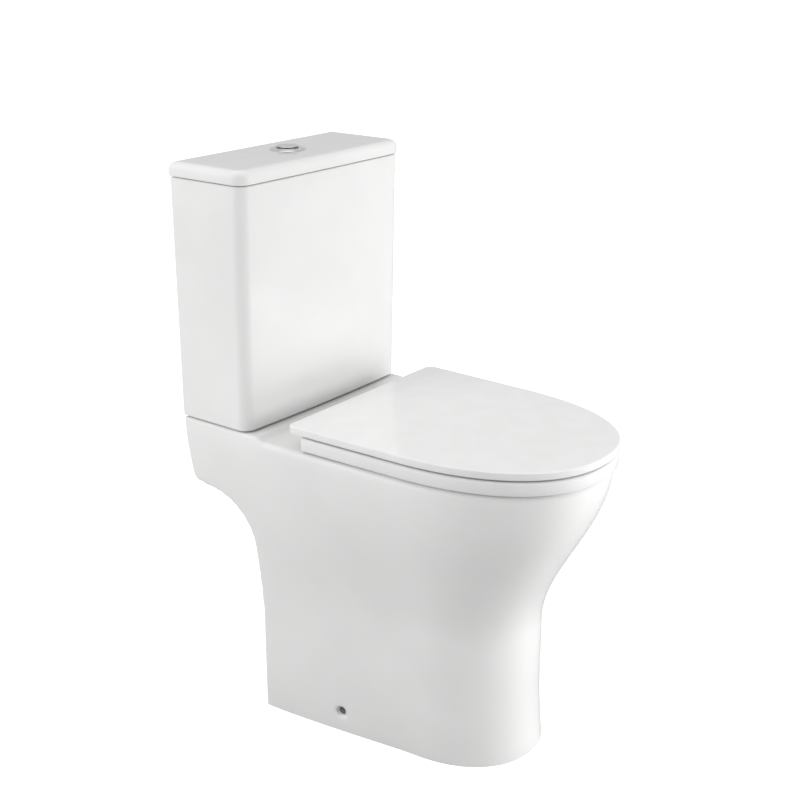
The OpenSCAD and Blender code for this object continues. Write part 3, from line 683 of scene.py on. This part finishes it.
def pan_piece():
    outside = pan_outside()
    inside = join(
        bowl("bowl_shell", BOWL_WALL),
        trapway("trap_shell", TRAP_BORE_R + TRAP_WALL),
        flush_duct("duct_shell", DUCT_WALL),
        rod("flush_boss", BOSS_R, SHELF_Z - DUCT_Z, (0, FLUSH_D, DUCT_Z - DUCT_WALL)),
    )
    keep(inside, twin(outside))
    hollow_z = [BELOW - 6] + [mix(0, PLATE_LOW_Z, i / 30) for i in range(31)]
    pan = cut(outside, loft("hollow", [pan_ring(z, WALL_T, BEHIND - 20) for z in hollow_z]))
    join(pan, inside)
    arc_r, arc_z = 81.0, 286.0
    behind = [(-40, BELOW - 10), (LEG_D, BELOW - 10)]
    behind += arc(LEG_D - arc_r, arc_z, arc_r, 0, 90, 24)
    behind += arc(21, arc_z + arc_r + 16, 12, -90, -170, 8)
    behind += [(1.0, SHELF_Z - 4), (0.5, SHELF_Z + 20), (-40, SHELF_Z + 20)]
    cut(pan, prism("behind", behind, -220, 220))
    spigot_l = SPIGOT_IN_D - SPIGOT_END_D
    join(pan, rod("spigot", OUTLET_R, spigot_l + 15, (0, SPIGOT_END_D, OUTLET_Z), "y"))
    cut(
        pan,
        bowl("bowl_space", 0),
        trapway("trap_space", TRAP_BORE_R),
        flush_duct("duct_space", 0),
        rod("spigot_bore", OUTLET_R - SPIGOT_WALL, spigot_l, (0, SPIGOT_END_D - 2, OUTLET_Z), "y"),
        rod("recess", RECESS_R, THROUGH, (0, FLUSH_D, PLATE_LOW_Z - 12)),
        rod("passage", PASSAGE_R, THROUGH, (0, FLUSH_D, DUCT_Z)),
        rod("inlet_hole", INLET_HOLE_R, THROUGH, (FILL_X, FLUSH_D, PLATE_LOW_Z - 1)),
        *both_sides(
            lambda s: rod("bolt_hole", BOLT_HOLE_R, THROUGH, (s * COUPLING_X, FLUSH_D, PLATE_LOW_Z - 1))
        ),
        *both_sides(
            lambda s: rod("hinge_hole", HINGE_HOLE_R, THROUGH, (s * HINGE_X, HINGE_D, PLATE_LOW_Z - 1))
        ),
        *both_sides(
            lambda s: rod(
                "fixing_hole", FIXING_HOLE_R, THROUGH, (min(s * 90, s * 150), FIXING_D, FIXING_Z), "x"
            )
        ),
    )
    glazed(pan, 3.0, 8)
    keep(pan, block("above_floor", -300, 300, -100, 800, 0, 600))
    return piece(pan, "pan_glazed", "pan", sharp=60)


pan_piece()

# ---------------------------------------------------------------- cistern and its lid

TOP_W, TOP_D, TOP_CROWN = 180.0, 139.0, 1.8
BASE_W, BASE_D, BASE_CROWN = 179.0, 132.0, 4.5
CORNER_R = 18.0
TANK_WALL, TANK_FLOOR = 9.0, 13.0
TANK_Z, TANK_TOP_Z = CISTERN_LOW[2], CISTERN_HIGH[2]


def tank_ring(t, inset, z):
    w, d = mix(BASE_W, TOP_W, t) - inset, mix(BASE_D, TOP_D, t) - inset
    crown, r = mix(BASE_CROWN, TOP_CROWN, t), max(CORNER_R - inset, 4.0)
    rear, rear_r = max(inset, 0.0), 4.0
    half = [(w - rear_r + rear_r * c, rear + rear_r + rear_r * s) for c, s in arc(0, 0, 1, -90, 0, 4)]
    half += [(w, mix(rear + rear_r, d - r, i / 10)) for i in range(1, 10)]
    half += [(w - r + r * c, d - r + r * s) for c, s in arc(0, 0, 1, 0, 90, 12)]
    half += [(x, d) for x in [(w - r) * (1 - i / 20) for i in range(1, 21)]]
    half = [(x, y + crown * (1 - (x / w) ** 2) * clamp((y - d / 2) / (d / 2))) for x, y in half]
    whole = half + [(-x, y) for x, y in reversed(half[:-1])]
    return [(x, y, z) for x, y in whole]


def cistern_piece():
    def level(z):
        return (z - TANK_Z) / (TANK_TOP_Z - TANK_Z)

    base_r, lip_r = 3.0, 2.0
    rings = [
        tank_ring(level(TANK_Z + base_r + base_r * s), base_r * (1 - c), TANK_Z + base_r + base_r * s)
        for c, s in arc(0, 0, 1, -90, 0, 8)
    ]
    rings += [tank_ring(t, 0, mix(TANK_Z, TANK_TOP_Z, t)) for t in (0.2, 0.4, 0.6, 0.8)]
    rings += [
        tank_ring(1, lip_r * (1 - c), TANK_TOP_Z - lip_r + lip_r * s) for c, s in arc(0, 0, 1, 0, 90, 4)
    ]
    cistern = loft("cistern", rings)
    floor_z, floor_r = TANK_Z + TANK_FLOOR, 14.0
    inner = [
        tank_ring(0.03, TANK_WALL + floor_r * (1 - c), floor_z + floor_r + floor_r * s)
        for c, s in arc(0, 0, 1, -90, 0, 8)
    ]
    inner += [tank_ring(1, TANK_WALL, TANK_TOP_Z - lip_r)]
    inner += [
        tank_ring(1, TANK_WALL - lip_r * (1 - c), TANK_TOP_Z - lip_r + lip_r * s)
        for c, s in arc(0, 0, 1, 20, 90, 4)
    ]
    inner += [tank_ring(1, TANK_WALL - lip_r, TANK_TOP_Z + 5)]
    cut(
        cistern,
        loft("tank_space", inner),
        rod("flush_hole", 32, 30, (0, FLUSH_D, TANK_Z - 1)),
        rod("fill_hole", 11.5, 30, (FILL_X, FLUSH_D, TANK_Z - 1)),
        *both_sides(lambda s: rod("tank_bolt_hole", 6, 30, (s * COUPLING_X, FLUSH_D, TANK_Z - 1))),
    )
    return piece(cistern, "cistern_glazed", "cistern")


def cistern_lid_piece():
    z0, top = LID_LOW[2] + 8, LID_HIGH[2]
    over, edge, foot_r = 2.5, 12.0, 2.0
    rings = [
        tank_ring(1, foot_r * (1 - c) - over, z0 + foot_r + foot_r * s) for c, s in arc(0, 0, 1, -90, 0, 5)
    ]
    rings += [tank_ring(1, -over, mix(z0 + foot_r, top - edge, i / 3)) for i in (1, 2)]
    rings += [
        tank_ring(1, edge * (1 - c) - over, top - edge + edge * s) for c, s in arc(0, 0, 1, 0, 90, 14)
    ]
    rings += [tank_ring(1, edge - over + 12, top)]
    lid = loft("cistern_lid", rings)
    lip = TANK_WALL + 1
    join(
        lid,
        loft(
            "lid_lip",
            [
                tank_ring(1, lip + 3, z0 - 8),
                tank_ring(1, lip + 1, z0 - 7),
                tank_ring(1, lip, z0 - 5),
                tank_ring(1, lip, z0 + 1),
            ],
        ),
    )
    under = [tank_ring(1, lip + 8, z0 - 10), tank_ring(1, lip + 8, top - 15)]
    under += [tank_ring(1, lip + 10, top - 11), tank_ring(1, lip + 14, top - 9)]
    cut(lid, loft("lid_space", under), rod("button_hole", 21, 30, (0, FLUSH_D, top - 15)))
    return piece(lid, "cistern_lid_glazed", "cistern_lid")


cistern_piece()
cistern_lid_piece()

# ---------------------------------------------------------------- seat

SEAT_BACK_D = 205.0
SEAT_BACK_W, SEAT_NOSE_W = 173.0, 169.0
SEAT_FRONT_D = node_box("seat_lid")[1][1]
RING_BACK_D = 226.0
RING_Z, RING_T = SEAT_RING_LOW[2], 19.5
LID_GAP = 3.5
SEAT_LID_Z, SEAT_LID_T, SEAT_CROWN = RING_Z + RING_T + LID_GAP, 11.0, 1.5
HOLE_D, HOLE_A, HOLE_B = 430.0, 108.0, 128.0
BARREL_R, PIN_R = 8.0, 4.0
RING_LUG = (HINGE_X - 23, HINGE_X - 11)
LID_LUG = (HINGE_X + 13, HINGE_X + 25)


def seat_line(inset, rear, corner=12.0):
    return outline(
        SEAT_BACK_W - inset,
        SEAT_NOSE_W - inset,
        SEAT_BACK_D,
        NOSE_D,
        SEAT_FRONT_D + 0.2 - inset,
        2.25,
        rear,
        corner=corner,
        ease_rounds=10,
    )


def at_z(line, z):
    return [(x, d, z) for x, d in line]


def barrel(name, span, side, radius=BARREL_R, soft=0.8):
    low = span[0] if side > 0 else -span[1]
    return rod(name, radius, span[1] - span[0], (low, HINGE_D, HINGE_Z), "x", soft, 64)


def web(name, span, side, d0, d1, z0, z1):
    low, high = (span[0], span[1]) if side > 0 else (-span[1], -span[0])
    return block(name, low, high, d0, d1, z0, z1)


def pin_hole(name, span, side, radius):
    low = span[0] if side > 0 else -span[1]
    return rod(name, radius, span[1] - span[0] + 4, (low - 2, HINGE_D, HINGE_Z), "x", 0, 64)


def seat_ring_piece():
    outer = seat_line(1.0, RING_BACK_D, 10.0)
    (x0, d0), (x1, d1), parts = outer[-1], outer[0], 32
    outer += [(mix(x0, x1, i / parts), mix(d0, d1, i / parts)) for i in range(1, parts)]
    rings = []
    foot, edge, inner_edge, dish = 1.5, 4.0, 7.0, 1.2
    for x, d in outer:
        a = math.atan2((HOLE_D - d) / HOLE_B, x / HOLE_A)
        hx, hd = HOLE_A * math.cos(a), HOLE_D - HOLE_B * math.sin(a) * (1 + 0.05 * math.sin(a))
        width = math.dist((x, d), (hx, hd))
        section = [(foot, 0.0)]
        section += [(foot * (1 - s), foot * (1 - c)) for s, c in ((0.5, 0.866), (1.0, 0.0))]
        section += [(edge * (1 - c), RING_T - edge + edge * s) for c, s in arc(0, 0, 1, 0, 90, 6)]
        section += [
            (mix(edge, width - inner_edge, t), RING_T - dish * ease(t))
            for t in (0.1, 0.25, 0.4, 0.55, 0.7, 0.85)
        ]
        top = RING_T - dish
        section += [
            (width - inner_edge + inner_edge * s, top - inner_edge + inner_edge * c)
            for c, s in arc(0, 0, 1, 0, 90, 7)
        ]
        section += [(width, foot), (width - foot, 0.0)]
        ring = []
        for along, up in section:
            t = along / width
            ring.append((mix(x, hx, t), mix(d, hd, t), RING_Z + up))
        rings.append(ring)
    seat = loft("seat_ring", rings, closed=True)
    web_low, web_high = HINGE_Z - BARREL_R, HINGE_Z + BARREL_R - 3
    for side in (1, -1):
        join(
            seat,
            web("ring_web", RING_LUG, side, HINGE_D, RING_BACK_D + 3, web_low, web_high),
            barrel("ring_barrel", RING_LUG, side),
        )
    cut(seat, *[pin_hole("ring_pin_hole", RING_LUG, s, PIN_R + 0.05) for s in (1, -1)])
    return piece(seat, "seat_ring_moulded", "seat_ring")


def seat_lid_piece():
    edge, foot = 2.2, 1.0
    high = SEAT_LID_Z + SEAT_LID_T
    rings = [
        at_z(seat_line(foot * (1 - c), SEAT_BACK_D + foot * (1 - c)), SEAT_LID_Z + foot + foot * s)
        for c, s in arc(0, 0, 1, -90, 0, 4)
    ]
    rings += [
        at_z(seat_line(edge * (1 - c), SEAT_BACK_D + edge * (1 - c)), high - edge + edge * s)
        for c, s in arc(0, 0, 1, 0, 90, 8)
    ]
    for inset, rise in ((9, 0.15), (16, 0.35), (30, 0.7), (50, 1.1), (80, 1.4), (110, SEAT_CROWN)):
        rings.append(at_z(seat_line(inset, SEAT_BACK_D + inset * 0.7), high + rise))
    lid = loft("seat_lid", rings)
    recess = [
        at_z(seat_line(7, SEAT_BACK_D + 25, 8.0), SEAT_LID_Z - 1),
        at_z(seat_line(8, SEAT_BACK_D + 26, 8.0), SEAT_LID_Z + 4),
        at_z(seat_line(9, SEAT_BACK_D + 27, 8.0), SEAT_LID_Z + 5.5),
        at_z(seat_line(11, SEAT_BACK_D + 29, 8.0), SEAT_LID_Z + 6),
    ]
    cut(lid, loft("lid_recess", recess))
    for side in (1, -1):
        join(
            lid,
            web(
                "lid_web", LID_LUG, side, HINGE_D - BARREL_R + 2, HINGE_D + BARREL_R, HINGE_Z, SEAT_LID_Z + 2
            ),
            barrel("lid_barrel", LID_LUG, side),
        )
    cut(lid, *[pin_hole("damper_hole", LID_LUG, s, 5.5) for s in (1, -1)])
    return piece(lid, "seat_lid_moulded", "seat_lid")


seat_ring_piece()
seat_lid_piece()

# ---------------------------------------------------------------- push button

SURROUND_R, WELL_R, BUTTON_R = 27.0, 17.0, 16.5
SPLIT_X = -2.0


def surround_piece():
    z = LID_HIGH[2]
    profile = [(WELL_R, z - 36), (20, z - 36), (20, z), (SURROUND_R - 0.4, z)]
    profile += [(SURROUND_R, z + 0.3), (SURROUND_R, z + 0.8)]
    profile += [
        (mix(SURROUND_R, WELL_R + 3.5, t), z + 0.8 + 2.0 * math.sin(t * math.pi / 2))
        for t in (0.1, 0.25, 0.45, 0.7, 1.0)
    ]
    profile += [(WELL_R + 1.2, z + 2.6), (WELL_R + 0.4, z + 1.9), (WELL_R, z + 1.0)]
    profile += [(WELL_R, z - 30), (0, z - 30), (0, z - 33), (WELL_R, z - 33)]
    surround = turned("surround", profile, (0, FLUSH_D, 0), sides=160)
    cut(surround, *[rod("rod_hole", 3.3, 8, (x, FLUSH_D, z - 35)) for x in (7.5, -9.5)])
    return piece(surround, "flush_surround_chrome", "button_bezel", sharp=50)


def cap_piece(name, node, side):
    low = node_box(node)[0][2]
    height = BUTTON_TOP_Z - low
    edge = 1.1
    profile = [(0, 0), (BUTTON_R, 0)]
    profile += arc(BUTTON_R - edge, height - edge - 0.3, edge, 0, 80, 6)
    profile += [(mix(BUTTON_R - edge, 0, t), height - 0.3 + 0.3 * ease(t)) for t in (0.25, 0.5, 0.75, 1.0)]
    cap = turned(name, profile, (0, FLUSH_D, low), sides=128)
    gap = 0.4
    x0, x1 = (SPLIT_X - 40, SPLIT_X + gap) if side > 0 else (SPLIT_X - gap, SPLIT_X + 40)
    cut(cap, block("split", x0, x1, FLUSH_D - 30, FLUSH_D + 30, low - 5, low + 40))
    return piece(softened(cap, 0.35, 40.0, 2), name, node, sharp=50)


def coil_piece(node):
    """A button's spring: a coil of wire that fills its node's box."""
    low, high = node_box(node)
    wire, turns, steps = 0.6, 5, 24
    x, d = (low[0] + high[0]) / 2, (low[1] + high[1]) / 2
    radius = (high[0] - low[0]) / 2 - wire
    path = []
    for i in range(turns * steps + 1):
        a = 2 * math.pi * i / steps
        z = mix(low[2] + wire, high[2] - wire, i / (turns * steps))
        path.append((x + radius * math.cos(a), d + radius * math.sin(a), z))
    coil = piece(sweep(node, path, wire, 12), node + "_coil", node)
    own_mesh(coil)


surround_piece()
coil_piece("full_button_spring")
coil_piece("half_button_spring")
cap_piece("full_flush_cap", "full_flush_button", 1)
cap_piece("half_flush_cap", "half_flush_button", -1)

# ---------------------------------------------------------------- fittings

DONE = {n for o in bpy.data.objects for n in o.get("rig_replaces", [])}
FINE_EDGE = {"hinge_base_left": 1.0, "hinge_base_right": 1.0, "fill_float": 1.5, "flush_valve_body": 0.8}
for node in sorted(NODE_SLOT):
    if node not in DONE:
        rounded_node(node, FINE_EDGE.get(node, 0.4))

# ---------------------------------------------------------------- stage and light


def floor_material():
    """Pale paper, which throws back less light than it shows."""
    m = Nodes("pale_floor")
    m.colour(m.noise(3.0, 2.0), (0.975, 0.975, 0.975), (0.985, 0.985, 0.985))
    m.set(Roughness=0.9, IOR=1.3, Emission_Color=(1.0, 1.0, 1.0, 1.0), Emission_Strength=PAPER_GLOW)
    dim = m.new("ShaderNodeBsdfDiffuse")
    dim.inputs["Color"].default_value = (0.5, 0.5, 0.5, 1.0)
    either = m.new("ShaderNodeMixShader")
    m.link(m.new("ShaderNodeLightPath").outputs["Is Camera Ray"], either.inputs["Fac"])
    m.link(dim.outputs["BSDF"], either.inputs[1])
    m.link(m.shader.outputs["BSDF"], either.inputs[2])
    m.link(either.outputs["Shader"], m.tree.nodes["Material Output"].inputs["Surface"])
    return m.material


FLOOR_HALF = 60.0
PAPER_GLOW = 0.45
floor_mesh = bpy.data.meshes.new("floor")
corners = [(-1, -1), (1, -1), (1, 1), (-1, 1)]
floor_mesh.from_pydata([(x * FLOOR_HALF, y * FLOOR_HALF, 0) for x, y in corners], [], [(0, 1, 2, 3)])
floor_mesh.materials.append(floor_material())
floor = bpy.data.objects.new("floor", floor_mesh)
bpy.context.scene.collection.objects.link(floor)


def softbox(name, at, towards, size, power):
    data = bpy.data.lights.new(name, "AREA")
    data.shape = "RECTANGLE"
    data.size, data.size_y = size
    data.energy = power
    lamp = bpy.data.objects.new(name, data)
    lamp.location = at
    lamp.rotation_mode = "QUATERNION"
    lamp.rotation_quaternion = (Vector(towards) - Vector(at)).to_track_quat("-Z", "Y")
    lamp.visible_camera = False
    lamp.visible_glossy = False
    bpy.context.scene.collection.objects.link(lamp)


def studio_world():
    """A white studio: even all round, a big soft light overhead, and one dark opening at the near side."""
    world = bpy.data.worlds.new("studio")
    world.use_nodes = True
    tree = world.node_tree
    link = tree.links.new
    height = tree.nodes.new("ShaderNodeSeparateXYZ")
    aim = tree.nodes.new("ShaderNodeTexCoord")
    link(aim.outputs["Generated"], height.inputs["Vector"])
    edge = tree.nodes.new("ShaderNodeMapRange")
    edge.interpolation_type = "SMOOTHSTEP"
    edge.inputs["From Min"].default_value = math.cos(math.radians(OVERHEAD_START))
    edge.inputs["From Max"].default_value = math.cos(math.radians(OVERHEAD_FULL))
    edge.inputs["To Min"].default_value = AMBIENT
    edge.inputs["To Max"].default_value = OVERHEAD
    link(height.outputs["Z"], edge.inputs["Value"])
    facing = tree.nodes.new("ShaderNodeVectorMath")
    facing.operation = "DOT_PRODUCT"
    facing.inputs[1].default_value = DARK_SIDE
    link(aim.outputs["Generated"], facing.inputs[0])
    dark = tree.nodes.new("ShaderNodeMapRange")
    dark.interpolation_type = "SMOOTHSTEP"
    dark.inputs["From Min"].default_value = math.cos(math.radians(DARK_START))
    dark.inputs["From Max"].default_value = math.cos(math.radians(DARK_FULL))
    dark.inputs["To Min"].default_value = 1.0
    dark.inputs["To Max"].default_value = DARK_LEFT
    link(facing.outputs["Value"], dark.inputs["Value"])
    both = tree.nodes.new("ShaderNodeMath")
    both.operation = "MULTIPLY"
    link(edge.outputs["Result"], both.inputs[0])
    link(dark.outputs["Result"], both.inputs[1])
    studio = tree.nodes["Background"]
    link(both.outputs["Value"], studio.inputs["Strength"])
    paper = tree.nodes.new("ShaderNodeBackground")
    either = tree.nodes.new("ShaderNodeMixShader")
    link(tree.nodes.new("ShaderNodeLightPath").outputs["Is Camera Ray"], either.inputs["Fac"])
    link(studio.outputs["Background"], either.inputs[1])
    link(paper.outputs["Background"], either.inputs[2])
    link(either.outputs["Shader"], tree.nodes["World Output"].inputs["Surface"])
    studio.inputs["Color"].default_value = paper.inputs["Color"].default_value = (1, 1, 1, 1)
    return world


AMBIENT = 0.56
OVERHEAD, OVERHEAD_START, OVERHEAD_FULL = 1.38, 42.0, 26.0
DARK_SIDE, DARK_START, DARK_FULL, DARK_LEFT = (-0.765, -0.590, 0.259), 27.0, 12.0, 0.04
softbox("left", (-1.95, 0.95, 1.20), (0.0, 0.10, 0.45), (1.2, 1.5), 23.5)
softbox("right", (0.85, -1.75, 0.66), (0.0, 0.0, 0.30), (1.4, 1.1), 30.0)
bpy.context.scene.world = studio_world()
bpy.context.scene.view_settings.view_transform = "Standard"
